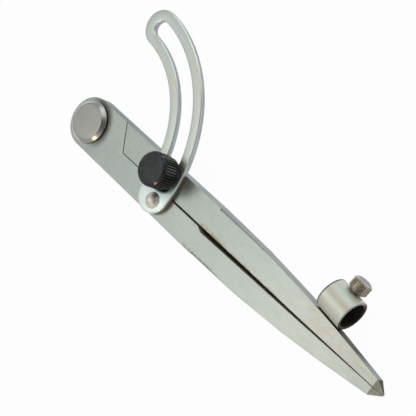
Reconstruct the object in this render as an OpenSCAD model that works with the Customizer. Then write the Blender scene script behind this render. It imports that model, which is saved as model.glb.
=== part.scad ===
// Wing compass: two flat steel legs on a half-lap rivet joint, a slotted arc that a
// knurled thumb screw locks, and a tube on one leg that holds a pencil.
// It lies on its back: +Z is the normal of the plates, the points lie towards -Y, and
// the origin is on the pivot axis, in the plane on which the compass rests.

/* [Legs] */
// Distance from the pivot axis to the points
reach = 141.25; // [130:0.25:170]
// Width of the two closed legs together, which is the width of the round head too
pair_w = 17.5; // [15.5:0.1:21]
// Thickness of the leg plate
leg_t = 4.8; // [4:0.1:6]
// Distance from the pivot axis to where the outer edges start to come in
taper_from = 62; // [58:0.5:70]
// Distance from the pivot axis to the knee, where the taper steepens for the first time
knee_from = 84; // [78:0.5:90]
// Distance by which each outer edge has come in at the knee
knee_in = 0.55; // [0.3:0.05:0.9]
// Distance from the pivot axis to the hip, where the straight seat of the tube begins
hip_from = 105; // [100:0.5:106]
// Distance by which each outer edge has come in at the hip
hip_in = 2.05; // [1.6:0.05:2.5]
// Distance from the pivot axis to the belly, where the seat of the tube ends
belly_from = 119; // [118:0.5:122]
// Width of one leg at the belly
belly_w = 5.2; // [4.6:0.1:5.6]
// Width of one leg where its point is ground
point_w = 2.65; // [1.8:0.05:3.6]
// Distance from the pivot axis to where the plate starts to get thinner
thin_from = 103; // [90:0.5:115]
// Thickness of the plate where its point is ground
thin_t = 3.2; // [2.6:0.1:4]
// Length of the ground point along the side
point_side_l = 3.4; // [2:0.1:6]
// Length of the ground point along the front and the back
point_face_l = 3.7; // [3:0.1:8]
// Width and thickness that the grinding leaves at the very point
point_flat = 0.3; // [0.2:0.05:0.6]
// Width of the split between the closed legs at the shoulders and at the points
split_gap = 0.12; // [0.06:0.02:0.3]
// Distance from the pivot axis to where the plain leg's inner edge starts to be relieved
relief_from = 25; // [22:0.5:36]
// Distance from the pivot axis to where the relief has its full depth
relief_full = 46; // [40:0.5:52]
// Distance from the pivot axis to where the relief starts to run out
relief_to = 107; // [98:0.5:112]
// Distance from the pivot axis to the end of the relief
relief_end = 130; // [122:0.5:131]
// Depth of the relief, from the middle of the split
relief_depth = 0.55; // [0.3:0.05:0.7]
// Distance from the pivot axis to the hollow ground into the plain leg's inner edge
hollow_from = 58.5; // [53:0.5:70]
// Length over which the hollow reaches its full depth
hollow_run = 3.5; // [2:0.5:8]
// Depth of the hollow, from the middle of the split
hollow_depth = 1.5; // [1:0.05:1.8]
// Length of the plain inner edge between the end of the hollow and the ground point
hollow_stop = 3; // [2:0.5:6]
// Thickness of the web that the hollow leaves at the back
hollow_web = 1.6; // [1:0.1:2.4]
// Distance from the pivot axis to the start of the front bevel on the outer edges
bevel_from = 63.5; // [62.5:0.5:72]
// Width of the front bevel where it starts; it fades out before the knee
edge_bevel = 0.6; // [0.3:0.05:0.8]

/* [Half-lap head] */
// Radius of the circle that the slanting shoulders touch, about the pivot axis
lap_r = 16; // [14:0.1:19]
// Gap between each shoulder and the lap that turns past it
lap_clear = 0.15; // [0.08:0.01:0.3]
// Gap between the two lap faces
lap_face_gap = 0.04; // [0.02:0.01:0.08]

/* [Pivot] */
// Diameter of the rivet's shank
pivot_d = 6; // [5:0.1:7]
// Diameter of the broad front head
pivot_head_d = 14.9; // [13:0.1:15.2]
// Diameter of the flat on the front head
pivot_flat_d = 11.8; // [10:0.1:12.6]
// Height of the front head
pivot_head_h = 1.8; // [1.4:0.1:2.6]
// Height of the straight rim under the front head's chamfer
pivot_rim_h = 0.8; // [0.4:0.1:1.2]
// Diameter of the closing head at the back
closing_d = 12; // [10:0.1:13]
// Width of the chamfer on the closing head
closing_chamfer = 0.8; // [0.4:0.1:1]
// Diameter of the washer under the closing head
pivot_washer_d = 14.8; // [13.5:0.1:15.2]
// Thickness of the washer under the closing head
pivot_washer_t = 1.2; // [0.8:0.1:1.4]

/* [Wing] */
// Radius of the slot's centre line, about the pivot axis
wing_r = 40.4; // [37:0.1:44]
// Width of the wing across both arms
wing_w = 12.6; // [11:0.1:13]
// Thickness of the wing
wing_t = 2.1; // [1.6:0.1:3]
// Width of the slot
slot_w = 5.3; // [5.2:0.1:6]
// How much wider than the wing or the slot the circles of their round ends are, by radius
end_ease = 0.05; // [0.03:0.01:0.15]
// Metal between the slot and the rounded end of the wing, along its centre line
wing_end_wall = 4.3; // [3:0.1:6]
// Distance from the thumb screw to the centre of the wing's rounded foot
foot_reach = 7.8; // [7.5:0.1:9]
// Opening of the legs at which the thumb screw meets the end of the slot
open_angle = 75; // [60:1:76]
// Play along the slot at both ends of its travel
slot_play = 0.3; // [0.2:0.05:0.6]

/* [Wing rivet] */
// Diameter of the shank
wing_rivet_d = 3.2; // [2.6:0.1:4]
// Diameter of the dome
dome_d = 5.2; // [4.6:0.1:5.6]
// Height of the dome
dome_h = 1.9; // [1.4:0.1:2.4]
// Distance from the plain leg's outer edge to the rivet
wing_rivet_inset = 4.65; // [4:0.05:5]
// Distance from the slot's centre line out to the rivet
wing_rivet_out = 1.2; // [0:0.1:1.6]

/* [Thumb screw] */
// Major diameter of the thread
clamp_d = 5; // [4.5:0.1:5.1]
// Distance from the pencil leg's outer edge to the screw
clamp_inset = 3.35; // [3.2:0.05:3.8]
// Distance from the screw's end to the back of the pencil leg
clamp_end_gap = 0.3; // [0.1:0.1:0.8]
// Diameter of the knob over its knurl
knob_d = 11.5; // [10.5:0.1:12]
// Height of the knob above its washer
knob_h = 7; // [5.5:0.1:8]
// Height of the cone under the knurl
knob_cone_h = 0.8; // [0.5:0.1:1.2]
// Height of the bevel round the knob's top
knob_bevel = 0.5; // [0.3:0.05:0.8]
// Thickness of the knob over the screw's end
knob_cap = 1.6; // [1.2:0.1:2.4]
// Number of teeth on the knob's knurl
knob_teeth = 40; // [30:1:48]
// Diameter of the washer under the knob
clamp_washer_d = 10.8; // [10:0.1:11.6]
// Thickness of the washer under the knob
clamp_washer_t = 1.4; // [0.8:0.1:1.6]

/* [Pencil tube] */
// Outer diameter of the tube
tube_d = 10.6; // [10.2:0.1:12]
// Wall of the tube, which leaves the bore for the pencil
tube_wall = 1.05; // [0.8:0.05:1.3]
// Length of the tube
tube_l = 10.1; // [9:0.1:11.5]
// Distance along the tube's seat from the belly to the mouth of the tube
tube_mouth_at = 0.15; // [0.1:0.05:1]
// Chamfer inside the mouth
mouth_chamfer = 0.25; // [0.1:0.05:0.4]
// Gap between the leg's edge and the tube, which the braze fills
braze_gap = 0.2; // [0.15:0.05:0.5]
// Height of the braze seam, across the edge
braze_h = 2.6; // [2:0.1:3]
// Length of bare edge at each end of the braze seam
braze_end = 0.5; // [0.2:0.1:1]

/* [Pencil screw] */
// Major diameter of the thread
pencil_screw_d = 3; // [2.5:0.1:3.4]
// Distance from the mouth of the tube to the screw
pencil_screw_at = 4.5; // [4:0.1:5.4]
// Gap between the tube and the screw's head
pencil_head_gap = 0.35; // [0.35:0.05:1.2]
// Diameter of the head over its knurl
pencil_head_d = 6.2; // [5:0.1:6.6]
// Height of the head
pencil_head_h = 4.1; // [3:0.1:4.8]
// Height of the bevels at both ends of the head
pencil_head_bevel = 0.45; // [0.3:0.05:0.6]
// Thickness of the head over the end of its shank
pencil_head_cap = 1.2; // [0.8:0.1:1.6]
// Distance by which the tip of the screw stands into the bore
pencil_tip_gap = 0.05; // [0.02:0.01:0.2]
// Number of teeth on the head's knurl
pencil_teeth = 24; // [18:1:30]

/* [Fits] */
// Radial clearance of shafts and threads that turn in their holes
run_clear = 0.04; // [0.02:0.01:0.08]
// Radial clearance of the washer on the thumb screw
washer_clear = 0.08; // [0.05:0.01:0.1]
// Depth of the knurls
knurl_depth = 0.3; // [0.2:0.05:0.4]
// Step from the roots of a knurl in to the bevels beside it
knurl_step = 0.1; // [0.05:0.01:0.15]

/* [Hidden] */
$fn = 96;

// Overshoot of cuts past the faces that they open
over = 1;

// Heights: the tube and the closing head both rest on z = 0
half_w = pair_w / 2;
mid_z = tube_d / 2;
back_z = mid_z - leg_t / 2;
front_z = mid_z + leg_t / 2;
wing_top = front_z + wing_t;
washer_top = wing_top + clamp_washer_t;
closing_h = back_z - pivot_washer_t;

// Shoulders of the half lap: each lies on a tangent of the lap circle that touches it
// at the head's outer edge, so a lap inside the circle turns past it
shoulder_out_y = sqrt(lap_r * lap_r - half_w * half_w);
function shoulder_y(x, r) = -(r * lap_r - half_w * x) / shoulder_out_y;

// Outer edge of a leg, from the head down to the ground point
edge_start = [-half_w, -taper_from];
edge_knee = [-(half_w - knee_in), -knee_from];
edge_hip = [-(half_w - hip_in), -hip_from];
edge_belly = [-belly_w, -belly_from];
edge_point = [-point_w, -(reach - point_side_l)];
bevel_start = edge_start + (edge_knee - edge_start) * (bevel_from - taper_from) / (knee_from - taper_from);
bevel_fade = 0.55 * edge_bevel;

// Slot and wing, as angles about the pivot axis, with 0 along +X
clamp_x = half_w - clamp_inset;
clamp_angle = -acos(clamp_x / wing_r);
clamp_pos = [clamp_x, wing_r * sin(clamp_angle)];
slot_half_play = (slot_w - clamp_d) / 2;
function arc_deg(length) = length / wing_r * 180 / PI;
slot_from = clamp_angle + arc_deg(slot_half_play - slot_play);
slot_to = clamp_angle + open_angle - arc_deg(slot_half_play - slot_play);
wing_from = clamp_angle - arc_deg(foot_reach);
wing_to = slot_to + arc_deg(slot_w / 2 + wing_end_wall - wing_w / 2);
wing_rivet_x = -(half_w - wing_rivet_inset);
wing_rivet_r = wing_r + wing_rivet_out;
wing_rivet_pos = [wing_rivet_x, -sqrt(wing_rivet_r * wing_rivet_r - wing_rivet_x * wing_rivet_x)];

// Tube, in the frame of its seat: +X out of the edge, +Y along it from the belly to the hip
seat_angle = atan2(edge_belly.x - edge_hip.x, belly_from - hip_from);
tube_bore_d = tube_d - 2 * tube_wall;
tube_out = tube_d / 2 + braze_gap;
pencil_screw_y = tube_mouth_at + pencil_screw_at;
pencil_head_x = tube_out + tube_d / 2 + pencil_head_gap;
pencil_tip_x = tube_out + tube_bore_d / 2 - pencil_tip_gap;
shank_top_x = pencil_head_x + pencil_head_h - pencil_head_cap;

// Places its children in the frame of the tube's seat on the pencil leg
module on_seat() {
    translate([belly_w, -belly_from, mid_z]) rotate([0, 0, -seat_angle]) children();
}

// Turns a Z axis into the outward axis of the pencil screw, at a distance from the edge
module on_screw_axis(x) {
    on_seat() translate([x, pencil_screw_y, 0]) rotate([0, 90, 0]) children();
}

// Straight knurl: a prism of pointed teeth, with its base at z = 0
module knurl(d, teeth, height) {
    step = 360 / teeth;
    outer = d / 2;
    inner = outer - knurl_depth;
    linear_extrude(height)
        polygon([
            for (i = [0 : teeth - 1])
                for (half = [0, 1])
                    (half == 0 ? outer : inner) * [cos((i + half / 2) * step), sin((i + half / 2) * step)]
        ]);
}

// Prism that takes a 45 degree bevel off the outer edge at one face, and leaves the edge
// before the knee
module bevel_cut(face) {
    side = edge_bevel * sqrt(2);
    run = [edge_knee.x - bevel_fade, edge_knee.y, face * bevel_fade] - [bevel_start.x, bevel_start.y, 0];
    translate([bevel_start.x, bevel_start.y, face * leg_t / 2])
        rotate([0, -asin(run.z / norm(run)), atan2(run.y, run.x)])
            translate([norm(run) / 2, 0, 0])
                rotate([45, 0, 0])
                    cube([norm(run) + edge_bevel / 2, side, side], center = true);
}

// Full-thickness outline of a leg on the -X side, from its shoulder to its point
module leg_outline() {
    inner_x = -split_gap / 2;
    polygon([
        [inner_x, shoulder_y(-inner_x, lap_r)],
        [-half_w, -shoulder_out_y],
        edge_start,
        edge_knee,
        edge_hip,
        edge_belly,
        edge_point,
        [inner_x - point_flat, -reach],
        [inner_x, -reach]
    ]);
}

// Outline of the half-thickness lap: the round head and the neck down to the shoulders
module lap_outline() {
    inner_x = -split_gap / 2;
    r = lap_r - lap_clear;
    neck_y = shoulder_y(0, lap_r) - half_w;
    circle(half_w);
    polygon([
        [-half_w, 0],
        [half_w, 0],
        [half_w, shoulder_y(half_w, r)],
        [inner_x, shoulder_y(inner_x, r)],
        [inner_x, neck_y],
        [-half_w, neck_y]
    ]);
}

// Wedges that make the front and the back of a leg thinner and then grind its point
module point_grind() {
    for (side = [-1, 1])
        translate([-pair_w / 2 - over, 0, 0])
            rotate([90, 0, 90])
                linear_extrude(pair_w + 2 * over)
                    polygon([
                        [-thin_from, side * leg_t / 2],
                        [-(reach - point_face_l), side * thin_t / 2],
                        [-reach, side * point_flat / 2],
                        [-reach - over, side * point_flat / 2],
                        [-reach - over, side * (leg_t / 2 + over)],
                        [-thin_from, side * (leg_t / 2 + over)]
                    ]);
}

// Forged blank of both legs: on the -X side with its lap in front, about its middle plane,
// with the bevel on the face that is in front when the compass is closed
module leg_blank(face) {
    difference() {
        union() {
            linear_extrude(leg_t, center = true) leg_outline();
            translate([0, 0, lap_face_gap / 2]) linear_extrude(leg_t / 2 - lap_face_gap / 2) lap_outline();
        }
        point_grind();
        bevel_cut(face);
    }
}

// Cut along the plain leg's inner edge, from a height up through the front
module inner_cut(from_z, points) {
    translate([0, 0, from_z]) linear_extrude(front_z + over - from_z) polygon(points);
}

// Fixed leg: the front lap, with the relief and the hollow along its inner edge
module plain_leg() {
    inner_x = -split_gap / 2;
    hollow_end = reach - point_face_l - hollow_stop;
    color("silver") difference() {
        translate([0, 0, mid_z]) leg_blank(1);
        cylinder(d = pivot_d, h = front_z + over);
        translate([wing_rivet_pos.x, wing_rivet_pos.y, back_z - over])
            cylinder(d = wing_rivet_d, h = leg_t + 2 * over);
        inner_cut(back_z - over, [
            [over, -relief_from],
            [inner_x, -relief_from],
            [-relief_depth, -relief_full],
            [-relief_depth, -relief_to],
            [inner_x, -relief_end],
            [over, -relief_end]
        ]);
        inner_cut(back_z + hollow_web, [
            [over, -hollow_from],
            [inner_x, -hollow_from],
            [-hollow_depth, -(hollow_from + hollow_run)],
            [inner_x, -hollow_end],
            [over, -hollow_end]
        ]);
    }
}

// Moving leg: the same blank turned over, with the hole of the thumb screw
module pencil_leg() {
    color("silver") difference() {
        translate([0, 0, mid_z]) rotate([0, 180, 0]) leg_blank(-1);
        cylinder(d = pivot_d + 2 * run_clear, h = front_z + over);
        translate([clamp_pos.x, clamp_pos.y, back_z - over])
            cylinder(d = clamp_d + 2 * run_clear, h = leg_t + 2 * over);
    }
}

// Pivot: a broad chamfered head in front, the shank, and the closing head at the back
module pivot_rivet() {
    head_top = front_z + pivot_head_h;
    color("darkgray") rotate_extrude()
        polygon([
            [0, 0],
            [closing_d / 2 - closing_chamfer, 0],
            [closing_d / 2, closing_chamfer],
            [closing_d / 2, closing_h],
            [pivot_d / 2, closing_h],
            [pivot_d / 2, front_z],
            [pivot_head_d / 2, front_z],
            [pivot_head_d / 2, front_z + pivot_rim_h],
            [pivot_flat_d / 2, head_top],
            [0, head_top]
        ]);
}

// Washer between the closing head and the back lap
module pivot_washer() {
    color("silver") translate([0, 0, closing_h]) difference() {
        cylinder(d = pivot_washer_d, h = pivot_washer_t);
        translate([0, 0, -over]) cylinder(d = pivot_d, h = pivot_washer_t + 2 * over);
    }
}

// Places its children on the slot's centre line, at an angle about the pivot axis
module on_arc(angle) {
    rotate([0, 0, angle]) translate([wing_r, 0, 0]) children();
}

// Wedge about the pivot axis between two angles, past the outer edge and both faces of the wing
module sector(from, to) {
    far = 2 * (wing_r + wing_w);
    translate([0, 0, -2 * over])
        linear_extrude(wing_t + 4 * over)
            polygon([
                [0, 0],
                for (angle = [from, (from + to) / 2, to]) far * [cos(angle), sin(angle)]
            ]);
}

// Flat bar along the slot's centre line between two angles, with round ends beyond them
module arc_bar(from, to, width, z, height) {
    intersection() {
        translate([0, 0, z]) difference() {
            cylinder(r = wing_r + width / 2, h = height);
            translate([0, 0, -over]) cylinder(r = wing_r - width / 2, h = height + 2 * over);
        }
        union() {
            sector(from, to);
            for (angle = [from, to])
                on_arc(angle)
                    translate([0, 0, -2 * over])
                        cylinder(r = width / 2 + end_ease, h = wing_t + 4 * over);
        }
    }
}

// Slotted arc about the pivot axis, riveted to the plain leg and lying on both legs
module wing() {
    color("gainsboro") translate([0, 0, front_z]) difference() {
        arc_bar(wing_from, wing_to, wing_w, 0, wing_t);
        arc_bar(slot_from, slot_to, slot_w, -over, wing_t + 2 * over);
        translate([wing_rivet_pos.x, wing_rivet_pos.y, -over])
            cylinder(d = wing_rivet_d, h = wing_t + 2 * over);
    }
}

// Domed rivet that holds the wing's foot on the plain leg, filed flush at the back
module wing_rivet() {
    ball_r = (dome_d * dome_d / 4 + dome_h * dome_h) / (2 * dome_h);
    color("silver") translate([wing_rivet_pos.x, wing_rivet_pos.y, 0]) {
        translate([0, 0, back_z]) cylinder(d = wing_rivet_d, h = leg_t + wing_t);
        translate([0, 0, wing_top]) intersection() {
            translate([0, 0, dome_h - ball_r]) sphere(ball_r);
            cylinder(d = dome_d, h = dome_h);
        }
    }
}

// Black knob: a knurled drum with a cone under it, a bevelled top and a blind hole
module clamp_knob() {
    side_r = knob_d / 2 - knurl_depth - knurl_step;
    color("dimgray") translate([clamp_pos.x, clamp_pos.y, washer_top]) difference() {
        union() {
            cylinder(r1 = side_r - knob_cone_h, r2 = side_r, h = knob_cone_h);
            translate([0, 0, knob_cone_h]) knurl(knob_d, knob_teeth, knob_h - knob_cone_h - knob_bevel);
            translate([0, 0, knob_h - knob_bevel])
                cylinder(r1 = side_r, r2 = side_r - knob_bevel, h = knob_bevel);
        }
        translate([0, 0, -over]) cylinder(d = clamp_d, h = knob_h - knob_cap + over);
    }
}

// Screw that is fixed in the knob and threaded through the pencil leg
module clamp_screw() {
    bottom = back_z + clamp_end_gap;
    color("lightgray") translate([clamp_pos.x, clamp_pos.y, bottom])
        cylinder(d = clamp_d, h = washer_top + knob_h - knob_cap - bottom);
}

// Washer that the knob presses on the wing, on both sides of the slot
module clamp_washer() {
    color("dimgray") translate([clamp_pos.x, clamp_pos.y, wing_top]) difference() {
        cylinder(d = clamp_washer_d, h = clamp_washer_t);
        translate([0, 0, -over])
            cylinder(d = clamp_d + 2 * washer_clear, h = clamp_washer_t + 2 * over);
    }
}

// Tube for the pencil, along its seat on the leg's edge, with the tapped hole of its screw
module pencil_tube() {
    color("honeydew") difference() {
        on_seat() translate([tube_out, tube_mouth_at, 0]) rotate([-90, 0, 0]) difference() {
            cylinder(d = tube_d, h = tube_l);
            translate([0, 0, -over]) cylinder(d = tube_bore_d, h = tube_l + 2 * over);
            translate([0, 0, -mouth_chamfer])
                cylinder(d1 = tube_bore_d + 4 * mouth_chamfer, d2 = tube_bore_d, h = 2 * mouth_chamfer);
        }
        on_screw_axis(tube_out) cylinder(d = pencil_screw_d + 2 * run_clear, h = tube_d);
    }
}

// Braze seam between the leg's edge and the tube, hollow to the tube
module tube_braze() {
    seam_l = tube_l - 2 * braze_end;
    color("darkgray") on_seat() difference() {
        translate([0, tube_mouth_at + braze_end, -braze_h / 2]) cube([tube_out, seam_l, braze_h]);
        translate([tube_out, tube_mouth_at - over, 0])
            rotate([-90, 0, 0])
                cylinder(d = tube_d, h = tube_l + 2 * over);
    }
}

// Shank of the pencil screw, from the bore of the tube into the head
module pencil_screw() {
    color("rosybrown") on_screw_axis(pencil_tip_x)
        cylinder(d = pencil_screw_d, h = shank_top_x - pencil_tip_x);
}

// Knurled head of the pencil screw, bevelled at both ends
module pencil_screw_head() {
    side_r = pencil_head_d / 2 - knurl_depth - knurl_step;
    top_z = pencil_head_h - pencil_head_bevel;
    color("rosybrown") on_screw_axis(pencil_head_x) difference() {
        union() {
            cylinder(r1 = side_r - pencil_head_bevel, r2 = side_r, h = pencil_head_bevel);
            translate([0, 0, pencil_head_bevel])
                knurl(pencil_head_d, pencil_teeth, top_z - pencil_head_bevel);
            translate([0, 0, top_z])
                cylinder(r1 = side_r, r2 = side_r - pencil_head_bevel, h = pencil_head_bevel);
        }
        translate([0, 0, -over])
            cylinder(d = pencil_screw_d + 2 * run_clear, h = pencil_head_h - pencil_head_cap + over);
    }
}

plain_leg();
pencil_leg();
pivot_rivet();
pivot_washer();
wing();
wing_rivet();
clamp_knob();
clamp_screw();
clamp_washer();
pencil_tube();
tube_braze();
pencil_screw();
pencil_screw_head();
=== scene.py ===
"""Dressed model of a flat steel wing compass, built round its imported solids.

Sizes are written in millimetres in the classes and become metres in the meshes.
"""
import logging
import math
from dataclasses import dataclass, field
from enum import Enum
from functools import partial
from typing import Any, Callable, Sequence

import bmesh
import bpy
from mathutils import Euler, Matrix, Vector


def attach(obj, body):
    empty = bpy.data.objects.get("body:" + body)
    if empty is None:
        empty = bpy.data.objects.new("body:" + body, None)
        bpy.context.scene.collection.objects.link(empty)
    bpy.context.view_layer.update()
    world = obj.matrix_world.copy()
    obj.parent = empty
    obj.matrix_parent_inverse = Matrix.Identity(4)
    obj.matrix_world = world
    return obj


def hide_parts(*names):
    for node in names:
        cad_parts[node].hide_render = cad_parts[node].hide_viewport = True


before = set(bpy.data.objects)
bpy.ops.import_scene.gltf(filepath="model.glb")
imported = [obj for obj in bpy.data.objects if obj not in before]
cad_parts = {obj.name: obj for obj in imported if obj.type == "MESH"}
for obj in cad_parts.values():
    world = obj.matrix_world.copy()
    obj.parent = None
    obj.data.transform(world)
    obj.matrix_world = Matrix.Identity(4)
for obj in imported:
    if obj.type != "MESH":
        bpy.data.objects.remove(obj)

MM = 0.001
LOG = logging.getLogger("wing_compass")
# A radius below this lies on the axis.
ON_AXIS = 1e-6
# Points of a new shape that lie closer than this are one.
MERGE_MM = 1e-4
# The most of an edge that the easing of one corner takes up.
MOST_CUT = 0.49
# Points of a solid that lie closer than this are one, and faces flatter than this to each other too.
WELD_MM = 0.002
FLAT_DEG = 0.3
# A face whose normal rises less than this is a wall.
STEEP = 0.9
# Most values of a noise lie between these.
NOISE_SPAN = (0.3, 0.7)
# The vector operations that give a number.
NUMBER_STEPS = ("DOT_PRODUCT", "DISTANCE", "LENGTH")

Pair = tuple[float, float]
Triple = tuple[float, float, float]
Chain = tuple[tuple[str, Triple], ...]
Tree = bpy.types.NodeTree
Socket = bpy.types.NodeSocket
Mesh = bpy.types.Mesh
BMesh = bmesh.types.BMesh
Ring = list[bmesh.types.BMVert]


def linear(hex_value: str) -> tuple[float, float, float, float]:
    """Turn an sRGB hex colour into linear light.

    Args:
        hex_value: six hex digits, with or without a leading hash.

    Returns:
        Red, green, blue and an alpha of one.
    """
    digits = hex_value.lstrip("#")
    channels = []
    for start in (0, 2, 4):
        value = int(digits[start:start + 2], 16) / 255.0
        channels.append(value / 12.92 if value <= 0.04045 else ((value + 0.055) / 1.055) ** 2.4)
    return (channels[0], channels[1], channels[2], 1.0)


def add(tree: Tree, kind: str, sockets: dict[Any, Any] | None = None, **settings: Any) -> bpy.types.Node:
    """Add one node, set it up, and fill or link its inputs.

    Args:
        tree: the node tree that takes the node.
        kind: the node's type name.
        sockets: input name or number, with a value or with the socket that feeds it.
        settings: the node's own properties.

    Returns:
        The new node.
    """
    node = tree.nodes.new(kind)
    for name, value in settings.items():
        setattr(node, name, value)
    for key, value in (sockets or {}).items():
        if isinstance(value, Socket):
            tree.links.new(value, node.inputs[key])
        else:
            node.inputs[key].default_value = value
    return node


def emptied(owner: bpy.types.Material | bpy.types.World) -> Tree:
    """Give the node tree of a material or world, with nothing in it.

    Args:
        owner: the material or the world.

    Returns:
        The empty tree.
    """
    owner.use_nodes = True
    owner.node_tree.nodes.clear()
    return owner.node_tree


def placed(name: str, data: bpy.types.ID) -> bpy.types.Object:
    """Make an object of some data and put it in the scene.

    Args:
        name: the object's name.
        data: its mesh, light or camera.

    Returns:
        The object.
    """
    thing = bpy.data.objects.new(name, data)
    bpy.context.scene.collection.objects.link(thing)
    return thing


class Grain(Enum):
    """How the fine lines in a worked surface run."""

    ALONG = "along the legs"
    ROUND = "round an upright axis"
    EVEN = "with no direction"


@dataclass(frozen=True)
class Ramp:
    """A share that goes from nought to one between two measures of a place.

    The measure is what a chain of vector operations makes of the place in millimetres.
    """

    chain: Chain
    start: float
    end: float
    smooth: bool = True
    both_sides: bool = False

    def share(self, tree: Tree, point: Socket) -> Socket:
        """Give the share at each place.

        Args:
            tree: the material's node tree.
            point: the place on the piece in millimetres.

        Returns:
            A value from nought to one.
        """
        value = point
        for operation, vector in self.chain:
            step = add(tree, "ShaderNodeVectorMath", {0: value, 1: vector}, operation=operation)
            value = step.outputs["Value" if operation in NUMBER_STEPS else "Vector"]
        if self.both_sides:
            value = add(tree, "ShaderNodeMath", {0: value}, operation="ABSOLUTE").outputs[0]
        return add(tree, "ShaderNodeMapRange", {
            "Value": value, "From Min": self.start, "From Max": self.end},
            interpolation_type="SMOOTHSTEP" if self.smooth else "LINEAR").outputs[0]


@dataclass(frozen=True)
class Mark:
    """A place on a surface where its colour has changed, whole or broken into worn spots."""

    colour: str
    strength: float = field(default=1.0, kw_only=True)
    spot_mm: float = field(default=0.0, kw_only=True)

    def ramps(self) -> tuple[Ramp, ...]:
        """Give the ramps whose product is the mark."""
        raise NotImplementedError

    def amount(self, tree: Tree, point: Socket) -> Socket:
        """Give the share of the mark's colour at each place.

        Args:
            tree: the material's node tree.
            point: the place on the piece in millimetres.

        Returns:
            A value from nought to one.
        """
        shares = [ramp.share(tree, point) for ramp in self.ramps()]
        if self.spot_mm > 0.0:
            spots = add(tree, "ShaderNodeTexNoise", {
                "Vector": point, "Scale": 1.0 / self.spot_mm, "Detail": 3.0, "Roughness": 0.6})
            shares.append(add(tree, "ShaderNodeMapRange", {
                "Value": spots.outputs[0], "From Min": 0.36, "From Max": 0.58}).outputs[0])
        total: Any = self.strength
        for share in shares:
            total = add(tree, "ShaderNodeMath", {0: total, 1: share}, operation="MULTIPLY").outputs[0]
        return total


@dataclass(frozen=True)
class StainAndShadeLine(Mark):
    """A line that follows an edge lengthwise and may lean as the edge tapers, used for worn and dirty lines
    and for painted shade and shadow.
    """

    x_mm: float
    width_mm: float
    y_from_mm: float
    y_to_mm: float
    lean: float = 0.0
    longest_fade_mm: float = 6.0
    end_share: float = 0.4
    start_share: float = 0.12

    def ramps(self) -> tuple[Ramp, ...]:
        """Give a ramp to both sides of the line and one at each of its ends.

        Returns:
            The ramps.
        """
        long = min(abs(self.y_to_mm - self.y_from_mm), self.longest_fade_mm / self.end_share)
        aside = (("SUBTRACT", (self.x_mm - self.lean * self.y_to_mm, 0.0, 0.0)),
                 ("DOT_PRODUCT", (1.0, -self.lean, 0.0)))
        along = (("DOT_PRODUCT", (0.0, 1.0, 0.0)),)
        return (Ramp(aside, self.width_mm, 0.0, both_sides=True),
                Ramp(along, self.y_to_mm, self.y_to_mm - self.start_share * long, smooth=False),
                Ramp(along, self.y_from_mm, self.y_from_mm + self.end_share * long, smooth=False))


@dataclass(frozen=True)
class Drift(Mark):
    """A slow change of colour across a piece, such as a straw tint or a paler end."""

    heading: Triple
    start_mm: float
    end_mm: float

    def ramps(self) -> tuple[Ramp, ...]:
        """Give one ramp along the heading."""
        return (Ramp((("DOT_PRODUCT", self.heading),), self.start_mm, self.end_mm),)


@dataclass(frozen=True)
class Band(Mark):
    """A band of another tint that runs along a piece; on the tube it is a painted reflection."""

    heading: Triple
    middle_mm: float
    half_mm: float

    def ramps(self) -> tuple[Ramp, ...]:
        """Give one ramp to both sides of the band's middle."""
        middle = ("SUBTRACT", tuple(self.middle_mm * Vector(self.heading)))
        return (Ramp((middle, ("DOT_PRODUCT", self.heading)), self.half_mm, 0.0, both_sides=True),)


@dataclass(frozen=True)
class GlintSpot(Mark):
    """A small spot of another colour, used for painted glints."""

    middle_mm: Triple
    outer_mm: float
    inner_mm: float = 0.05

    def ramps(self) -> tuple[Ramp, ...]:
        """Give one ramp outwards from the spot's middle."""
        return (Ramp((("DISTANCE", self.middle_mm),), self.outer_mm, self.inner_mm),)


@dataclass(frozen=True)
class Halo(Mark):
    """A ring of another colour round an upright round piece, thicker on one side, used for painted shade
    beside raised pieces and for a dark mark beside the thumb screw's washer.
    """

    middle_mm: Pair
    inner_mm: float
    outer_mm: float
    thick_side: Pair
    spread: Pair = (-0.2, 0.8)
    hollow_mm: Pair | None = None

    def ramps(self) -> tuple[Ramp, ...]:
        """Give ramps outwards, round to the thin side and, if it is a ring, inwards.

        Returns:
            The ramps.
        """
        flat = (("SUBTRACT", (*self.middle_mm, 0.0)), ("MULTIPLY", (1.0, 1.0, 0.0)))
        radius = (*flat, ("LENGTH", (0.0, 0.0, 0.0)))
        bearing = (*flat, ("NORMALIZE", (0.0, 0.0, 0.0)), ("DOT_PRODUCT", (*self.thick_side, 0.0)))
        ramps = (Ramp(radius, self.outer_mm, self.inner_mm), Ramp(bearing, *self.spread))
        return ramps + ((Ramp(radius, *self.hollow_mm),) if self.hollow_mm else ())


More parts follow.
